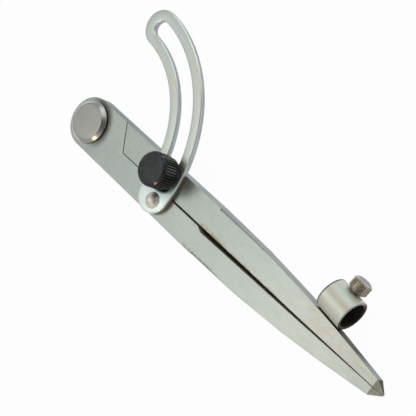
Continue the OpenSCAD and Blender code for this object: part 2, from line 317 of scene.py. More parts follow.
@dataclass(frozen=True)
class MetalFinish:
    """A metal surface: its colour, its cloudy patches and the fine lines of its working."""

    name: str
    colour: str
    patch: str
    patch_mm: float
    roughness: float
    rough_spread: float
    grain: Grain = Grain.EVEN
    grain_mm: Pair = (0.3, 0.3)
    depth_mm: float = 0.004
    tone: float = 0.06
    mottle: float = 0.0
    speck: float = 0.0
    spot_mm: float = 0.9
    streak: float = 1.0
    metallic: float = 1.0
    specular: float = 0.5
    marks: tuple[Mark, ...] = ()

    def material(self) -> bpy.types.Material:
        """Build the material once and hand out the same one after that.

        Returns:
            The material of this finish.
        """
        ready = bpy.data.materials.get(self.name)
        if ready is not None:
            return ready
        material = bpy.data.materials.new(self.name)
        tree = emptied(material)
        coords = add(tree, "ShaderNodeTexCoord")
        point = add(tree, "ShaderNodeMapping", {
            "Vector": coords.outputs["Object"], "Scale": (1 / MM, 1 / MM, 1 / MM)}).outputs["Vector"]
        fine = add(tree, "ShaderNodeTexNoise", {
            "Vector": self._lines(tree, point, self.grain_mm), "Scale": 1.0,
            "Detail": 4.0, "Roughness": 0.62}).outputs[0]
        spread = self._lines(tree, point, (1.0, self.streak)) if self.streak > 1.0 else point
        cloud = add(tree, "ShaderNodeTexNoise", {
            "Vector": spread, "Scale": 1.0 / self.patch_mm, "Detail": 3.0, "Roughness": 0.55})
        cover = add(tree, "ShaderNodeMapRange", {
            "Value": cloud.outputs[0], "From Min": 0.4, "From Max": 0.66}, interpolation_type="SMOOTHSTEP")
        base = add(tree, "ShaderNodeMix", {
            0: cover.outputs[0], 6: linear(self.colour), 7: linear(self.patch)}, data_type="RGBA")
        colour = self._shade(tree, base.outputs[2], fine, NOISE_SPAN, (1.0 - self.tone, 1.0 + self.tone))
        if self.mottle > 0.0:
            blotch = add(tree, "ShaderNodeTexNoise", {
                "Vector": point, "Scale": 1.0 / self.spot_mm, "Detail": 2.0, "Roughness": 0.7}).outputs[0]
            colour = self._shade(tree, colour, blotch, NOISE_SPAN, (1.0 - self.mottle, 1.0 + self.mottle))
        if self.speck > 0.0:
            dots = add(tree, "ShaderNodeTexNoise", {
                "Vector": point, "Scale": 1.0 / self.spot_mm, "Detail": 1.0, "Roughness": 0.4}).outputs[0]
            colour = self._shade(tree, colour, dots, (0.71, 0.77), (1.0, 1.0 - self.speck), "SMOOTHSTEP")
        for mark in self.marks:
            marked = add(tree, "ShaderNodeMix", {
                0: mark.amount(tree, point), 6: colour, 7: linear(mark.colour)}, data_type="RGBA")
            colour = marked.outputs[2]
        rough = add(tree, "ShaderNodeMapRange", {
            "Value": fine, "From Min": NOISE_SPAN[0], "From Max": NOISE_SPAN[1],
            "To Min": self.roughness - self.rough_spread, "To Max": self.roughness + self.rough_spread})
        bump = add(tree, "ShaderNodeBump", {
            "Height": fine, "Distance": self.depth_mm * MM, "Strength": 1.0})
        shader = add(tree, "ShaderNodeBsdfPrincipled", {
            "Base Color": colour, "Roughness": rough.outputs[0], "Normal": bump.outputs["Normal"],
            "Metallic": self.metallic, "Specular IOR Level": self.specular})
        add(tree, "ShaderNodeOutputMaterial", {"Surface": shader.outputs["BSDF"]})
        return material

    def _lines(self, tree: Tree, point: Socket, spacing: Pair) -> Socket:
        """Stretch a pattern so that its lines run the way the tool ran.

        Args:
            tree: the material's node tree.
            point: the place on the piece in millimetres.
            spacing: the pattern's size across and along the lines.

        Returns:
            The coordinates of the stretched noise.
        """
        across, along = spacing
        if self.grain is Grain.ROUND:
            x, y, z = add(tree, "ShaderNodeSeparateXYZ", {0: point}).outputs
            flat = add(tree, "ShaderNodeCombineXYZ", {0: x, 1: y})
            radius = add(tree, "ShaderNodeVectorMath", {
                0: flat.outputs[0]}, operation="LENGTH").outputs["Value"]
            angle = add(tree, "ShaderNodeMath", {0: y, 1: x}, operation="ARCTAN2")
            arc = add(tree, "ShaderNodeMath", {0: angle.outputs[0], 1: radius}, operation="MULTIPLY")
            point = add(tree, "ShaderNodeCombineXYZ", {0: radius, 1: arc.outputs[0], 2: z}).outputs[0]
        return add(tree, "ShaderNodeVectorMath", {
            0: point, 1: (1.0 / across, 1.0 / along, 1.0 / across)}, operation="MULTIPLY").outputs[0]

    @staticmethod
    def _shade(tree: Tree, colour: Socket, pattern: Socket, span: Pair, levels: Pair,
               curve: str = "LINEAR") -> Socket:
        """Brighten and darken a colour by a pattern.

        Args:
            tree: the material's node tree.
            colour: the colour so far.
            pattern: the values that decide where.
            span: the part of the pattern's values that counts.
            levels: the brightness at both ends of that span.
            curve: how the brightness goes from one to the other.

        Returns:
            The new colour.
        """
        level = add(tree, "ShaderNodeMapRange", {
            "Value": pattern, "From Min": span[0], "From Max": span[1],
            "To Min": levels[0], "To Max": levels[1]}, interpolation_type=curve)
        return add(tree, "ShaderNodeHueSaturation", {
            "Color": colour, "Value": level.outputs[0]}).outputs["Color"]


TO_POINTS = (0.0, -1.0, 0.0)
# The thumb screw's axis and the headings along and across the tube, for the marks beside them.
SCREW_AT = (5.4, -40.04)
TUBE_ALONG = (0.1065, 0.9943, 0.0)
TUBE_ACROSS = (0.9943, -0.1065, 0.0)
# Mild steel plate, ground on a belt along its length and left bare: an even greenish grey
# satin with soft lengthwise lines. It is painted paler towards the points and a little darker
# at their ends, a painted gradient of light along the legs. The real lines are under 0.1 mm
# apart, too fine to show, so they are drawn at 0.3 mm.
PAINTED_LIGHT_TO_POINTS = Drift("B9BDB4", TO_POINTS, 52.0, 112.0)
PAINTED_DIM_AT_POINTS = Drift("AFB4AB", TO_POINTS, 118.0, 134.0)
STRAW = Drift("BBAF9F", (0.55, -0.83, 0.0), 82.0, 96.0, strength=0.6, spot_mm=3.6)
FAINT_STRAW = Drift("BDB5A6", TO_POINTS, 98.0, 114.0, strength=0.3, spot_mm=4.0)
GROUND_PLAIN = MetalFinish(
    "ground mild steel, plain leg", "ADB3AC", "B2B8AF", 16.0, 0.36, 0.05, Grain.ALONG, (0.3, 5.0),
    speck=0.12, mottle=0.055, marks=(
        PAINTED_LIGHT_TO_POINTS, PAINTED_DIM_AT_POINTS, FAINT_STRAW,
        StainAndShadeLine("85745A", -8.3, 1.2, -78.0, -58.0, strength=0.8, spot_mm=1.6),
        # The dark brown crescent beside the rivet's head is painted shade.
        Halo("33281F", (0.0, 0.0), 7.6, 10.6, (0.6, -0.8), strength=0.85)))
GROUND_PENCIL = MetalFinish(
    "ground mild steel, pencil leg", "A9AFA8", "AEB4AB", 16.0, 0.36, 0.05, Grain.ALONG, (0.3, 5.0),
    speck=0.12, mottle=0.055, marks=(
        PAINTED_LIGHT_TO_POINTS, PAINTED_DIM_AT_POINTS, STRAW,
        StainAndShadeLine("978263", 0.45, 0.95, -72.0, -59.0, strength=0.8, spot_mm=1.3),
        StainAndShadeLine("967D58", 0.1, 0.85, -99.0, -64.0, strength=0.8, spot_mm=2.2),
        # A grey line along the outer edge, where the bevel starts, is painted shade.
        StainAndShadeLine("747A76", 8.46, 0.42, -90.0, -63.0, 0.018, strength=0.85)))
# The same plate's sheared and filed edges: duller and darker than its faces, partly as a painted reflection
# of darker surroundings, with painted shadow on the edge below the tube.
FILED_EDGE = MetalFinish(
    "filed edge of mild steel", "9CA3A4", "90989A", 7.0, 0.46, 0.06, Grain.ALONG, (0.35, 4.0), 0.005,
    marks=(Drift("838A88", (0.0, 1.0, 0.0), -38.0, -14.0),
           StainAndShadeLine("85745A", -8.3, 1.3, -78.0, -58.0, strength=0.4, spot_mm=4.0),
           # A dark patch on the edge below the tube is painted shadow.
           StainAndShadeLine("37312A", 5.0, 6.0, -134.0, -114.0, strength=0.95)))
# The walls of the split and of the lap, painted nearly black as the shade deep in the narrow gap.
SPLIT_SHADE = MetalFinish(
    "split of mild steel, painted nearly black as shade", "38342C", "4A4438", 4.0, 0.5, 0.08, Grain.ALONG, (0.4, 3.0),
    metallic=0.7, specular=0.3)
# The flat faces of the lap, which rub on each other: dark oily steel with rings round the pivot.
RUBBED_LAP = MetalFinish(
    "oiled and rubbed lap of mild steel", "747570", "5E5A52", 5.0, 0.42, 0.07, Grain.ROUND, (0.3, 8.0),
    tone=0.16, metallic=0.85)
# The wall of the hollow beside the split, which light still reaches: brown with old oil.
BROWN_HOLLOW = MetalFinish(
    "browned hollow of mild steel", "A59A86", "B5A488", 3.0, 0.55, 0.08, grain_mm=(0.5, 0.5),
    metallic=0.0, specular=0.2)
# Facets ground on at the points, across the legs: pale with an olive cast; the flanks carry a painted dark
# reflection.
GROUND_POINT = MetalFinish(
    "ground point of mild steel", "C6C3B4", "B2AF9E", 1.6, 0.42, 0.06, depth_mm=0.006)
POINT_FLANK_REFLECTION = MetalFinish(
    "flank of a ground point, painted dark reflection", "504E46", "44423A", 1.6, 0.42, 0.06, depth_mm=0.006)
# Turned steel rivet: a flat satin face with faint rings from the lathe tool, and a polished bevel.
TURNED_FACE = MetalFinish(
    "turned steel, satin face", "ABABA4", "B2B0A8", 5.0, 0.42, 0.05, Grain.ROUND, (0.25, 6.0))
TURNED_BEVEL = MetalFinish(
    "turned steel, polished bevel", "BFBDB5", "B4B2AA", 3.0, 0.27, 0.04, Grain.ROUND, (0.2, 8.0), 0.002)
# The rim of the rivet's head, down in the corner with the leg, painted dark brown as shade.
RIM_SHADE = MetalFinish(
    "rim of turned steel, painted dark as shade", "3A3028", "4A3C30", 2.0, 0.5, 0.06, grain_mm=(0.4, 0.4), metallic=0.4)
# Domed rivet head, pressed to shape and lightly polished: pale and soft, with a slight mottle.
DOMED_HEAD = MetalFinish(
    "pressed steel dome", "EEEAE0", "D6CEC2", 1.1, 0.42, 0.06, grain_mm=(0.35, 0.35), depth_mm=0.006,
    metallic=0.7)
# Zinc plated strip: bright and pale with a faint green cast, lines running round the arc,
# palest at the foot, with painted shade beside the knob and a near-black crescent beside the washer.
ZINC_FACE = MetalFinish(
    "zinc plated strip, face", "CBD5CC", "D3D1C4", 1.5, 0.41, 0.05, Grain.ROUND, (0.7, 14.0), 0.003,
    tone=0.07, streak=12.0, marks=(
        Drift("E8F3EF", (-1.0, 0.0, 0.0), -1.4, 4.4),
        Drift("D3D9D4", (0.8, 0.6, 0.0), 18.0, 30.0, strength=0.6),
        # Painted shade beside the knob, on the outer arm and towards the foot.
        Halo("948873", SCREW_AT, 5.2, 9.0, (0.8, -0.6), strength=0.8),
        Halo("B4C6C2", SCREW_AT, 5.6, 10.0, (-0.5, -0.87), strength=0.9),
        Halo("161816", SCREW_AT, 5.7, 6.9, (-0.93, -0.37), (0.74, 0.97), (4.5, 5.0))))
# The strip's punched edges: a cool duller grey, browned towards the foot.
ZINC_EDGE = MetalFinish(
    "zinc plated strip, punched edge", "A3AAB0", "979DA3", 5.0, 0.36, 0.06, Grain.ROUND, (0.3, 3.0), 0.005,
    marks=(Drift("B09A7A", (-1.0, 0.0, 0.0), -13.0, -5.0, strength=0.85, spot_mm=3.0),))
# The strip's upper corners, painted bright as a highlight along its edges.
ZINC_CORNER_HIGHLIGHT = MetalFinish(
    "zinc plated strip, corner painted bright as highlight", "F0F2E6", "E6E9DE", 6.0, 0.32, 0.05, Grain.ROUND, (0.4, 8.0),
    0.002)
# Zinc plated tube: the same plating, a shade paler, on a drawn wall with a painted reflection as a tan band
# along it and a dark line at its far rim.
ZINC_TUBE = MetalFinish(
    "zinc plated tube, drawn wall", "DFE7D8", "E3DCCB", 1.6, 0.5, 0.05, Grain.ALONG, (0.4, 0.4), 0.003,
    streak=7.0, metallic=0.65, marks=(
        # The tan band along the wall is a painted reflection.
        Band("DED0B4", TUBE_ACROSS, 24.75, 2.0, strength=0.6),
        Drift("4A4E4C", TUBE_ALONG, -108.25, -107.85, strength=0.85)))
# The corner of its end towards the pivot, painted nearly black.
DARK_CORNER = MetalFinish(
    "darkened corner of a zinc plated tube", "1A1C1C", "262625", 1.5, 0.5, 0.06, grain_mm=(0.4, 0.4))
# Its ends: sawn, grey above and darker brown towards the bottom.
TUBE_END = MetalFinish(
    "zinc plated tube, sawn end", "8C8D8B", "807E7A", 2.0, 0.42, 0.06, depth_mm=0.006,
    marks=(Drift("2E241C", (-0.6, 0.0, -0.8), -13.6, -11.0),))
# Its bore, painted dark and slightly red as the shade inside the tube.
TUBE_BORE_SHADE = MetalFinish(
    "bore of a steel tube, painted dark as shade", "342D2C", "4A3B33", 3.0, 0.5, 0.08, grain_mm=(0.4, 0.4),
    depth_mm=0.006, metallic=0.6)
# Black finish on turned steel: nearly no colour and a soft mottled sheen, with painted glints on the knob's
# top edge.
MATT_BLACK = MetalFinish(
    "matt black finish on turned steel", "0C100F", "232A29", 2.6, 0.33, 0.09, grain_mm=(0.5, 0.5),
    depth_mm=0.02, tone=0.2, metallic=0.0, specular=0.46, marks=(
        # Painted glints on the knob's top edge.
        GlintSpot("C6AE98", (2.55, -44.5, 17.85), 0.62), GlintSpot("B59C86", (3.0, -44.75, 17.85), 0.5),
        GlintSpot("7C7F7C", (10.8, -41.2, 17.6), 0.75), GlintSpot("646664", (10.5, -39.0, 17.7), 0.6)))
# The tips of the knob's ridges, painted lighter both where the black has worn thin and as a painted
# highlight.
WORN_AND_LIT_BLACK = MetalFinish(
    "worn black finish with painted highlight on turned steel", "635F58", "302E2A", 1.1, 0.26, 0.06, grain_mm=(0.4, 0.4),
    depth_mm=0.008, metallic=0.5)
# Plain steel screws, gone dull and slightly brown.
DULL_SCREW = MetalFinish(
    "dull turned screw steel", "B2A898", "968B7A", 1.6, 0.36, 0.07, depth_mm=0.005)
# The bevels at both ends of the small knurled head, turned last and left bright.
BRIGHT_BEVEL = MetalFinish("turned bevel of screw steel", "B4B0A7", "A29C92", 1.6, 0.30, 0.05)
# The flat outer end of that head, faced off: a cool even grey.
FACED_END = MetalFinish("faced end of screw steel", "8A8D92", "7C7E82", 1.6, 0.38, 0.05)
# Braze in the corner between tube and leg: dark brown.
DARK_BRAZE = MetalFinish(
    "dark brown braze", "3A352C", "54493A", 1.2, 0.55, 0.1, grain_mm=(0.4, 0.4), depth_mm=0.02, metallic=0.6)

Zone = Callable[[Vector, Vector], MetalFinish]


def paint(mesh: Mesh, finishes: Sequence[MetalFinish], zone: Zone | None = None) -> None:
    """Put finishes on a mesh, chosen face by face.

    Args:
        mesh: the mesh to dress.
        finishes: all its finishes, of which the first is the usual one.
        zone: gives the finish from a face's centre in millimetres and its normal.
    """
    mesh.materials.clear()
    for finish in finishes:
        mesh.materials.append(finish.material())
    for polygon in mesh.polygons:
        chosen = zone(polygon.center / MM, polygon.normal) if zone else finishes[0]
        polygon.material_index = finishes.index(chosen)


def finish_mesh(bm: BMesh, name: str, smooth_deg: float, place: Matrix | None = None,
                outward: bool = True) -> Mesh:
    """Close a bmesh in millimetres and turn it into a mesh in metres.

    Args:
        bm: the shape in millimetres; it is freed here.
        name: the new mesh's name.
        smooth_deg: edges sharper than this stay sharp in the shading.
        place: where the shape goes, in millimetres.
        outward: whether the normals are worked out again.

    Returns:
        The mesh.
    """
    bmesh.ops.remove_doubles(bm, verts=bm.verts, dist=MERGE_MM)
    if place is not None:
        bm.transform(place)
    bm.transform(Matrix.Scale(MM, 4))
    if outward:
        bmesh.ops.recalc_face_normals(bm, faces=bm.faces)
    for face in bm.faces:
        face.smooth = True
    mesh = bpy.data.meshes.new(name)
    bm.to_mesh(mesh)
    bm.free()
    mesh.set_sharp_from_angle(angle=math.radians(smooth_deg))
    return mesh


def show(name: str, mesh: Mesh, body: str, node: str) -> None:
    """Make a finished mesh a piece of the compass.

    Args:
        name: the piece's name, which its mesh takes too.
        mesh: its mesh, in place.
        body: the moving body that it rides on.
        node: the solid that it stands for.
    """
    mesh.name = name
    piece = placed(name, mesh)
    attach(piece, body)
    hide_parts(node)
    LOG.info("%s: %d faces, on %s", name, len(mesh.polygons), body)


def round_corners(points: Sequence[Pair], radius: float, steps: int = 3,
                  broad: dict[int, float] | None = None) -> list[Pair]:
    """Ease the corners of an open profile.

    Args:
        points: the profile's corners.
        radius: how far from each corner its curve starts.
        steps: the number of chords in each curve.
        broad: other radii, by the corner's number in the profile.

    Returns:
        The eased profile.
    """
    eased: list[Pair] = [points[0]]
    for number, (before, corner, after) in enumerate(zip(points, points[1:], points[2:]), 1):
        here = Vector(corner)
        back = Vector(before) - here
        ahead = Vector(after) - here
        cut = min((broad or {}).get(number, radius), MOST_CUT * back.length, MOST_CUT * ahead.length)
        start = here + back.normalized() * cut
        end = here + ahead.normalized() * cut
        for step in range(steps + 1):
            t = step / steps
            spot = start * (1 - t) ** 2 + here * (2 * t * (1 - t)) + end * t ** 2
            eased.append((spot.x, spot.y))
    eased.append(points[-1])
    return eased


def skin(bm: BMesh, rings: Sequence[Ring]) -> None:
    """Join rings of points, each to the next, with faces.

    Args:
        bm: the shape that the points belong to.
        rings: rings of as many points each, or of one point where the shape closes.
    """
    for low, high in zip(rings, rings[1:]):
        count = max(len(low), len(high))
        for step in range(count):
            following = (step + 1) % count
            corners = (low[step % len(low)], low[following % len(low)],
                       high[following % len(high)], high[step % len(high)])
            bm.faces.new(list(dict.fromkeys(corners)))


def lathe(profile: Sequence[Pair], segments: int) -> BMesh:
    """Turn a profile of radius and height about the upright axis.

    Args:
        profile: from axis to axis, or a closed ring when it doesn't touch the axis.
        segments: the number of steps round the axis.

    Returns:
        The turned shape in millimetres.
    """
    bm = bmesh.new()
    turns = [2 * math.pi * step / segments for step in range(segments)]
    rings: list[Ring] = []
    for radius, height in profile:
        spokes = turns if radius > ON_AXIS else turns[:1]
        rings.append([bm.verts.new((radius * math.cos(turn), radius * math.sin(turn), height))
                      for turn in spokes])
    skin(bm, rings + rings[:1] if profile[0][0] > ON_AXIS else rings)
    return bm


def softened(node: str, edge_mm: float, crease_deg: float,
             sharp: Callable[[Vector], bool] | None = None) -> BMesh:
    """Copy a solid's mesh and break its outer edges.

    Args:
        node: the solid's name.
        edge_mm: the width of the broken edges.
        crease_deg: only edges that turn by more than this are broken.
        sharp: tells from an edge's middle whether it is left as it is.

    Returns:
        The copy in millimetres.
    """
    bm = bmesh.new()
    bm.from_mesh(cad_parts[node].data)
    bm.transform(Matrix.Scale(1 / MM, 4))
    bmesh.ops.remove_doubles(bm, verts=bm.verts, dist=WELD_MM)
    bmesh.ops.dissolve_limit(bm, angle_limit=math.radians(FLAT_DEG), verts=bm.verts, edges=bm.edges)
    limit = math.radians(crease_deg)
    edges = [edge for edge in bm.edges
             if edge.is_manifold and edge.is_convex and edge.calc_face_angle(0.0) > limit]
    if sharp is not None:
        edges = [edge for edge in edges if not sharp(0.5 * (edge.verts[0].co + edge.verts[1].co))]
    bmesh.ops.bevel(bm, geom=edges, offset=edge_mm, offset_type="OFFSET", segments=2, profile=0.5,
                    affect="EDGES", clamp_overlap=False, loop_slide=True)
    return bm


@dataclass
class SeatFrame:
    """The frame of the tube's seat on the pencil leg, from which the pencil holder is measured."""

    corner: Triple = (5.2, -119.0, 5.3)
    turn_deg: float = -6.1155

    def matrix(self) -> Matrix:
        """Give the frame's place in millimetres."""
        return Matrix.Translation(self.corner) @ Matrix.Rotation(math.radians(self.turn_deg), 4, "Z")

    def along(self, x: float, y: float) -> Matrix:
        """Give a place whose upright axis points along the edge, towards the pivot."""
        return self.matrix() @ Matrix.Translation((x, y, 0.0)) @ Matrix.Rotation(math.radians(-90), 4, "X")

    def outward(self, x: float, y: float) -> Matrix:
        """Give a place whose upright axis points straight out of the edge."""
        return self.matrix() @ Matrix.Translation((x, y, 0.0)) @ Matrix.Rotation(math.radians(90), 4, "Y")


class NodeTools:
    """The two node trees that repeat a tooth round a drum and wind a thread on a rod."""

    # How deep a tooth is set into its drum, and its widths there and at its tip as shares of the pitch.
    SUNK_MM = 0.12
    FOOT_SHARE = 0.95
    TIP_SHARE = 0.3

    def __init__(self) -> None:
        """Build both trees."""
        self.knurl = self._knurl()
        self.thread = self._thread()

    @staticmethod
    def _tree(name: str, inputs: dict[str, str]) -> tuple[Tree, bpy.types.Node]:
        """Start a tree that takes a body, a material and some more.

        Args:
            name: the tree's name.
            inputs: the other inputs' names and kinds of socket.

        Returns:
            The tree and its input node.
        """
        tree = bpy.data.node_groups.new(name, "GeometryNodeTree")
        for label, kind in {"Body": "Geometry", **inputs, "Material": "Material"}.items():
            tree.interface.new_socket(label, in_out="INPUT", socket_type="NodeSocket" + kind)
        tree.interface.new_socket("Geometry", in_out="OUTPUT", socket_type="NodeSocketGeometry")
        return tree, add(tree, "NodeGroupInput")

    @staticmethod
    def _close(tree: Tree, given: bpy.types.Node, grown: Socket) -> None:
        """Join what has grown to the body and end the tree.

        Args:
            tree: the tree.
            given: its input node.
            grown: the geometry to join to the body.
        """
        both = add(tree, "GeometryNodeJoinGeometry", {"Geometry": given.outputs["Body"]})
        tree.links.new(grown, both.inputs["Geometry"])
        real = add(tree, "GeometryNodeRealizeInstances", {"Geometry": both.outputs[0]})
        dressed = add(tree, "GeometryNodeSetMaterial", {
            "Geometry": real.outputs[0], "Material": given.outputs["Material"]})
        add(tree, "NodeGroupOutput", {"Geometry": dressed.outputs[0]})

    def _knurl(self) -> Tree:
        """Build the tree that sets a tooth all round a drum.

        Returns:
            The tree.
        """
        tree, given = self._tree("knurl round a drum", {
            "Tooth": "Object", "Teeth": "Int", "Root radius": "Float"})
        ring = add(tree, "GeometryNodeMeshCircle", {
            "Vertices": given.outputs["Teeth"], "Radius": given.outputs["Root radius"]})
        tooth = add(tree, "GeometryNodeObjectInfo", {"Object": given.outputs["Tooth"]})
        index = add(tree, "GeometryNodeInputIndex")
        share = add(tree, "ShaderNodeMath", {
            0: index.outputs[0], 1: given.outputs["Teeth"]}, operation="DIVIDE")
        turn = add(tree, "ShaderNodeMath", {0: share.outputs[0], 1: 2 * math.pi}, operation="MULTIPLY")
        facing = add(tree, "ShaderNodeCombineXYZ", {2: turn.outputs[0]})
        teeth = add(tree, "GeometryNodeInstanceOnPoints", {
            "Points": ring.outputs[0], "Instance": tooth.outputs["Geometry"],
            "Rotation": facing.outputs[0]})
        self._close(tree, given, teeth.outputs[0])
        return tree

    def _thread(self) -> Tree:
        """Build the tree that winds a ridge round a rod.

        Returns:
            The tree.
        """
        tree, given = self._tree("thread on a rod", {
            "Turns": "Float", "Radius": "Float", "Height": "Float", "Start": "Vector", "Ridge": "Float"})
        helix = add(tree, "GeometryNodeCurveSpiral", {
            "Resolution": 28, "Rotations": given.outputs["Turns"],
            "Start Radius": given.outputs["Radius"], "End Radius": given.outputs["Radius"],
            "Height": given.outputs["Height"]})
        upright = add(tree, "GeometryNodeSetCurveNormal", {"Curve": helix.outputs[0]}, mode="Z_UP")
        ridge = add(tree, "GeometryNodeCurvePrimitiveCircle", {
            "Resolution": 4, "Radius": given.outputs["Ridge"]})
        wound = add(tree, "GeometryNodeCurveToMesh", {
            "Curve": upright.outputs[0], "Profile Curve": ridge.outputs[0], "Fill Caps": True})
        lifted = add(tree, "GeometryNodeTransform", {
            "Geometry": wound.outputs[0], "Translation": given.outputs["Start"]})
        self._close(tree, given, lifted.outputs[0])
        return tree

    @staticmethod
    def grow(tree: Tree, body: Mesh, values: dict[str, Any]) -> Mesh:
        """Run a tree on a body and keep the result as a plain mesh.

        Args:
            tree: the tree.
            body: the mesh that it starts from, at the origin.
            values: the named inputs.

        Returns:
            The grown mesh.
        """
        holder = placed("holder", body)
        modifier = holder.modifiers.new("grow", "NODES")
        modifier.node_group = tree
        for item in tree.interface.items_tree:
            if item.in_out == "INPUT" and item.name in values:
                modifier[item.identifier] = values[item.name]
        seen = holder.evaluated_get(bpy.context.evaluated_depsgraph_get())
        mesh = bpy.data.meshes.new_from_object(seen)
        holder.modifiers.remove(modifier)
        bpy.data.objects.remove(holder)
        return mesh

    def knurled(self, drum: Mesh, teeth: int, radii: Pair, span: Pair, ease: float,
                finish: MetalFinish) -> Mesh:
        """Set the ridges of a straight knurl all round a drum, each with both ends sloped off.

        Args:
            drum: the plain drum, in metres.
            teeth: the number of ridges.
            radii: the radius at the drum and at the ridges' tips.
            span: the heights between which the ridges run.
            ease: the length of each sloped end.
            finish: the finish of drum and ridges.

        Returns:
            The knurled drum.
        """
        low, high = span
        root, depth = radii[0], radii[1] - radii[0]
        pitch = 2 * math.pi * root / teeth
        foot, tip = self.FOOT_SHARE * pitch / 2, self.TIP_SHARE * pitch / 2
        bm = bmesh.new()
        rings = [[bm.verts.new((x, y, height)) for x, y in (
                  (-self.SUNK_MM, -foot), (out, -tip), (out, tip), (-self.SUNK_MM, foot))]
                 for height, out in ((low, 0.0), (low + ease, depth), (high - ease, depth), (high, 0.0))]
        skin(bm, rings)
        bm.faces.new(rings[0][::-1])
        bm.faces.new(rings[-1])
        bmesh.ops.recalc_face_normals(bm, faces=bm.faces)
        bm.transform(Matrix.Scale(MM, 4))
        mesh = bpy.data.meshes.new("tooth")
        bm.to_mesh(mesh)
        bm.free()
        tooth = placed("tooth", mesh)
        grown = self.grow(self.knurl, drum, {
            "Tooth": tooth, "Teeth": teeth, "Root radius": root * MM, "Material": finish.material()})
        bpy.data.objects.remove(tooth)
        return grown

    def threaded(self, rod: Mesh, pitch: float, radius: float, span: Pair, ridge: float) -> Mesh:
        """Wind a thread on a rod of screw steel.

        Args:
            rod: the plain rod, in metres.
            pitch: the rise in one turn.
            radius: the radius of the ridge's middle.
            span: the heights between which the thread runs.
            ridge: the ridge's own radius.

        Returns:
            The threaded rod.
        """
        height = span[1] - span[0]
        return self.grow(self.thread, rod, {
            "Turns": height / pitch, "Radius": radius * MM, "Height": height * MM,
            "Start": (0.0, 0.0, span[0] * MM), "Ridge": ridge * MM, "Material": DULL_SCREW.material()})


@dataclass
class Legs:
    """The two ground legs, with their half lap, split, bevels and pointed ends."""

    edge_mm: float = 0.13
    crease_deg: float = 25.0
    smooth_deg: float = 7.0
    split_reach: float = 1.8
    lap_side: float = 8.4
    lap_low: float = -24.0
    round_end: float = -1.0
    point_from: float = -137.6
    point_play: float = 0.3
    hollow_end: float = -104.0
    front_z: float = 7.7
    back_z: float = 2.9
    skin_z: float = 0.2
    sideways: float = 0.5
    square_on: float = 0.97

    def zone(self, ground: MetalFinish, centre: Vector, normal: Vector) -> MetalFinish:
        """Tell which finish a face takes: ground face, filed edge, split painted dark as shade, lap, or
        point, whose flanks carry a painted dark reflection.

        Args:
            ground: the finish of this leg's faces.
            centre: the face's centre in millimetres.
            normal: the face's normal.

        Returns:
            The finish.
        """
        steep = abs(normal.z) < STEEP
        inside = self.back_z + self.skin_z < centre.z < self.front_z - self.skin_z
        if centre.y < self.point_from and abs(normal.x) < self.square_on:
            # Sideways flanks of the points take a painted dark reflection.
            return POINT_FLANK_REFLECTION if abs(normal.x) > self.sideways else GROUND_POINT
        if steep and centre.y > self.round_end and math.hypot(centre.x, centre.y) > self.lap_side:
            return FILED_EDGE
        if abs(centre.x) < self.split_reach and centre.y > self.point_from:
            if steep and abs(normal.x) > self.sideways:
                # The split's walls are painted dark as shade.
                return BROWN_HOLLOW if normal.x > 0 and centre.y < self.lap_low else SPLIT_SHADE
            if inside and centre.y > self.hollow_end:
                return SPLIT_SHADE if centre.y < self.lap_low else RUBBED_LAP
        if centre.y > self.lap_low and abs(centre.x) < self.lap_side and (steep or inside):
            return SPLIT_SHADE if steep else RUBBED_LAP
        return FILED_EDGE if steep else ground

    def meets(self, middle: Vector) -> bool:
        """Tell whether an edge is one where the two points meet."""
        return middle.y < self.point_from and abs(middle.x) < self.point_play

    def build(self) -> None:
        """Make both legs."""
        others = (FILED_EDGE, SPLIT_SHADE, GROUND_POINT, BROWN_HOLLOW, POINT_FLANK_REFLECTION, RUBBED_LAP)
        for node, ground in (("plain_leg", GROUND_PLAIN), ("pencil_leg", GROUND_PENCIL)):
            bm = softened(node, self.edge_mm, self.crease_deg, self.meets)
            mesh = finish_mesh(bm, node + "_plate", self.smooth_deg, outward=False)
            paint(mesh, (ground, *others), partial(self.zone, ground))
            show(node + "_plate", mesh, node, node)


